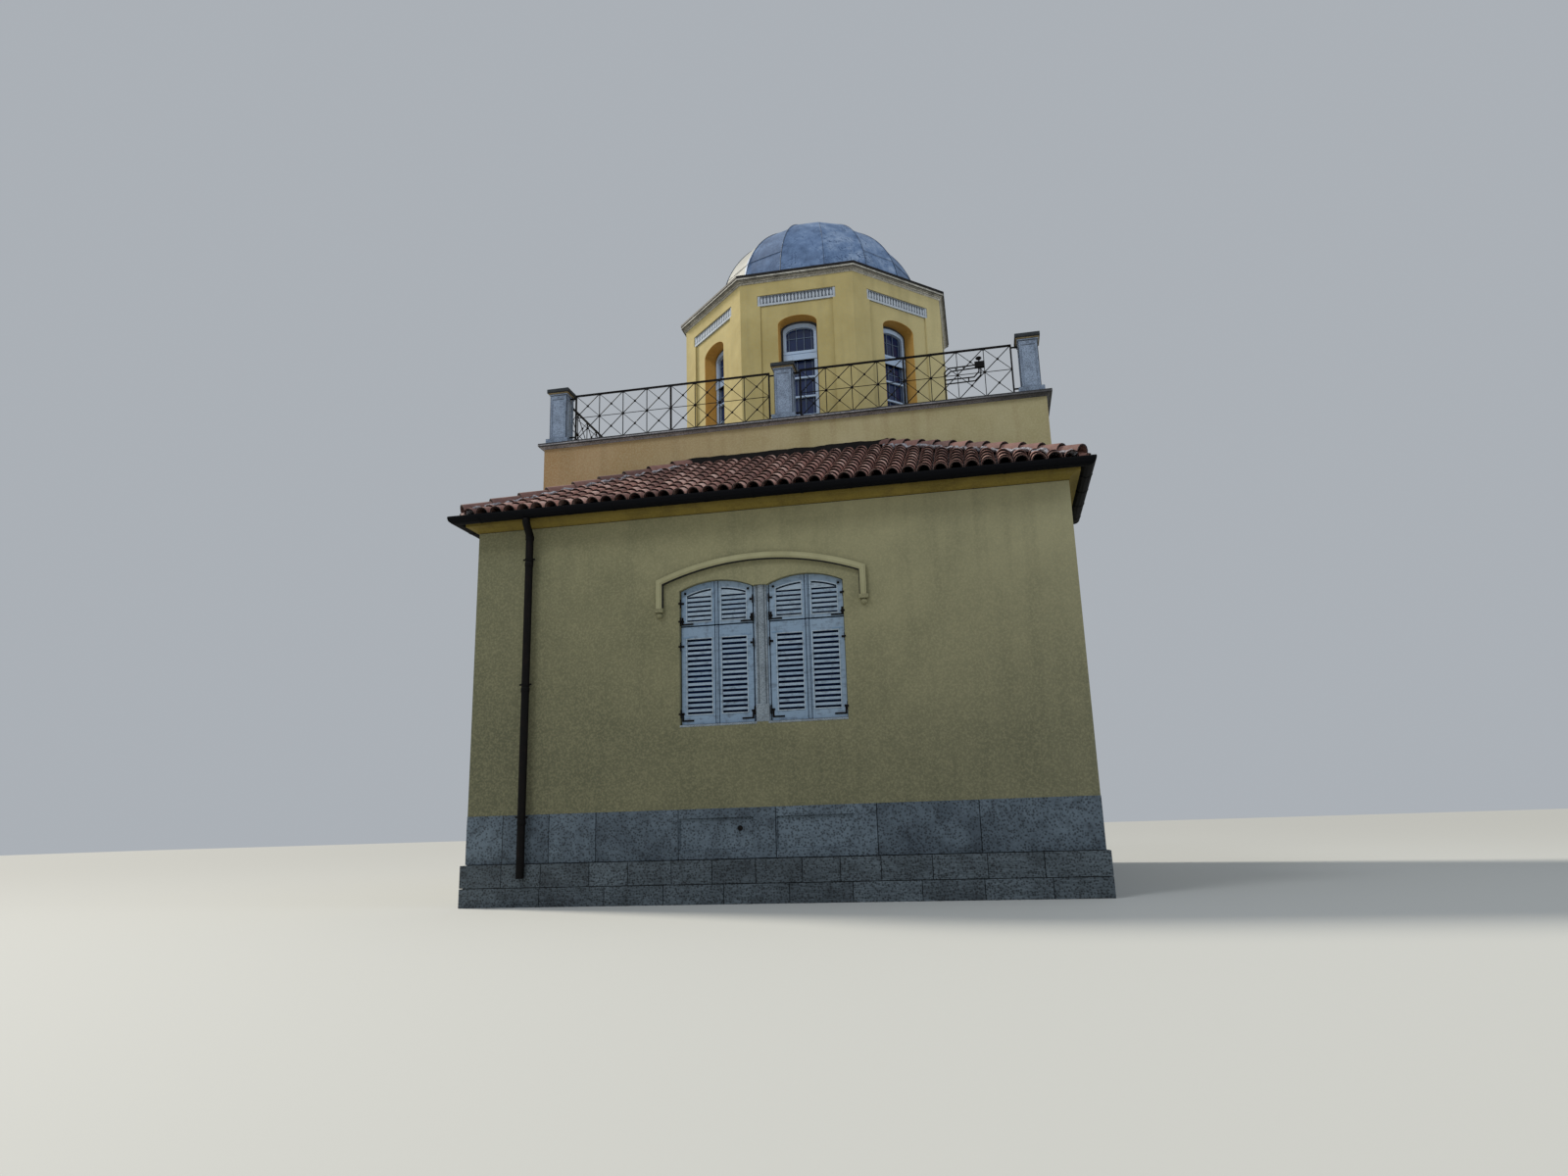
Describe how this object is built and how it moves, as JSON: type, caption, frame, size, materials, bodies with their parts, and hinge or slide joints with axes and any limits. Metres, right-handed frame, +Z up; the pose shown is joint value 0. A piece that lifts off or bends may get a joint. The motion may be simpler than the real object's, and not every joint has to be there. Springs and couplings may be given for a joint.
{
  "type": "observatory dome building",
  "caption": "Small rendered observatory: square block with railed terrace, tiled front wing, octagonal drum and a turning sheet-metal dome.",
  "frame": {"origin": "on the ground at the middle of the whole footprint, eaves included", "axes": "+Z up, -Y towards the front wing, +X to the right of someone facing the front"},
  "size_m": [9.08, 10.925, 13.3182],
  "materials": {
    "limestone": "dressed, weathered",
    "screed": "matt screed",
    "render": "matt lime render, ochre yellow",
    "shutter_paint": "weathered pale blue-grey paint",
    "clay_tile": "unglazed, reddish brown",
    "black_iron": "dark paint",
    "cornice_stone": "grey-brown stone",
    "white_window": "white painted frame with dark panes",
    "zinc_sheet": "dull weathered sheet"
  },
  "bodies": {
    "building": {"front_plinth": "limestone", "right_plinth": "limestone", "back_plinth": "limestone", "left_plinth": "limestone", "front_window_post": "limestone", "pier_front_left": "limestone", "pier_front_middle": "limestone", "pier_front_right": "limestone", "pier_right_middle": "limestone", "pier_back_right": "limestone", "pier_back_middle": "limestone", "pier_back_left": "limestone", "pier_left_middle": "limestone", "ground_floor": "screed", "terrace_floor": "screed", "front_wall": "render", "right_wall": "render", "left_wall": "render", "back_wall": "render", "terrace_front_wall": "render", "front_cove": "render", "right_cove": "render", "left_cove": "render", "drum_wall": "render", "front_left_shutters": "shutter_paint", "front_right_shutters": "shutter_paint", "right_shuttered_window": "shutter_paint", "back_shuttered_window": "shutter_paint", "left_shuttered_window": "shutter_paint", "front_roof": "clay_tile", "right_roof": "clay_tile", "left_roof": "clay_tile", "front_gutter": "black_iron", "right_gutter": "black_iron", "left_gutter": "black_iron", "downpipe": "black_iron", "front_railing_a": "black_iron", "front_railing_b": "black_iron", "right_railing_a": "black_iron", "right_railing_b": "black_iron", "back_railing_a": "black_iron", "back_railing_b": "black_iron", "left_railing_a": "black_iron", "left_railing_b": "black_iron", "railing_bracket": "black_iron", "dome_track": "black_iron", "terrace_cornice": "cornice_stone", "drum_cornice": "cornice_stone", "drum_windows": "white_window", "drum_roof": "zinc_sheet"},
    "dome": {"dome_ring": "black_iron", "dome_shell": "zinc_sheet", "slit_cover": "zinc_sheet"}
  },
  "joints": [
    {"name": "dome_turn", "type": "hinge", "parent": "building", "child": "dome", "pos_m": [0, 1.1775, 11.14], "axis": [0, 0, 1], "continuous": true}
  ]
}
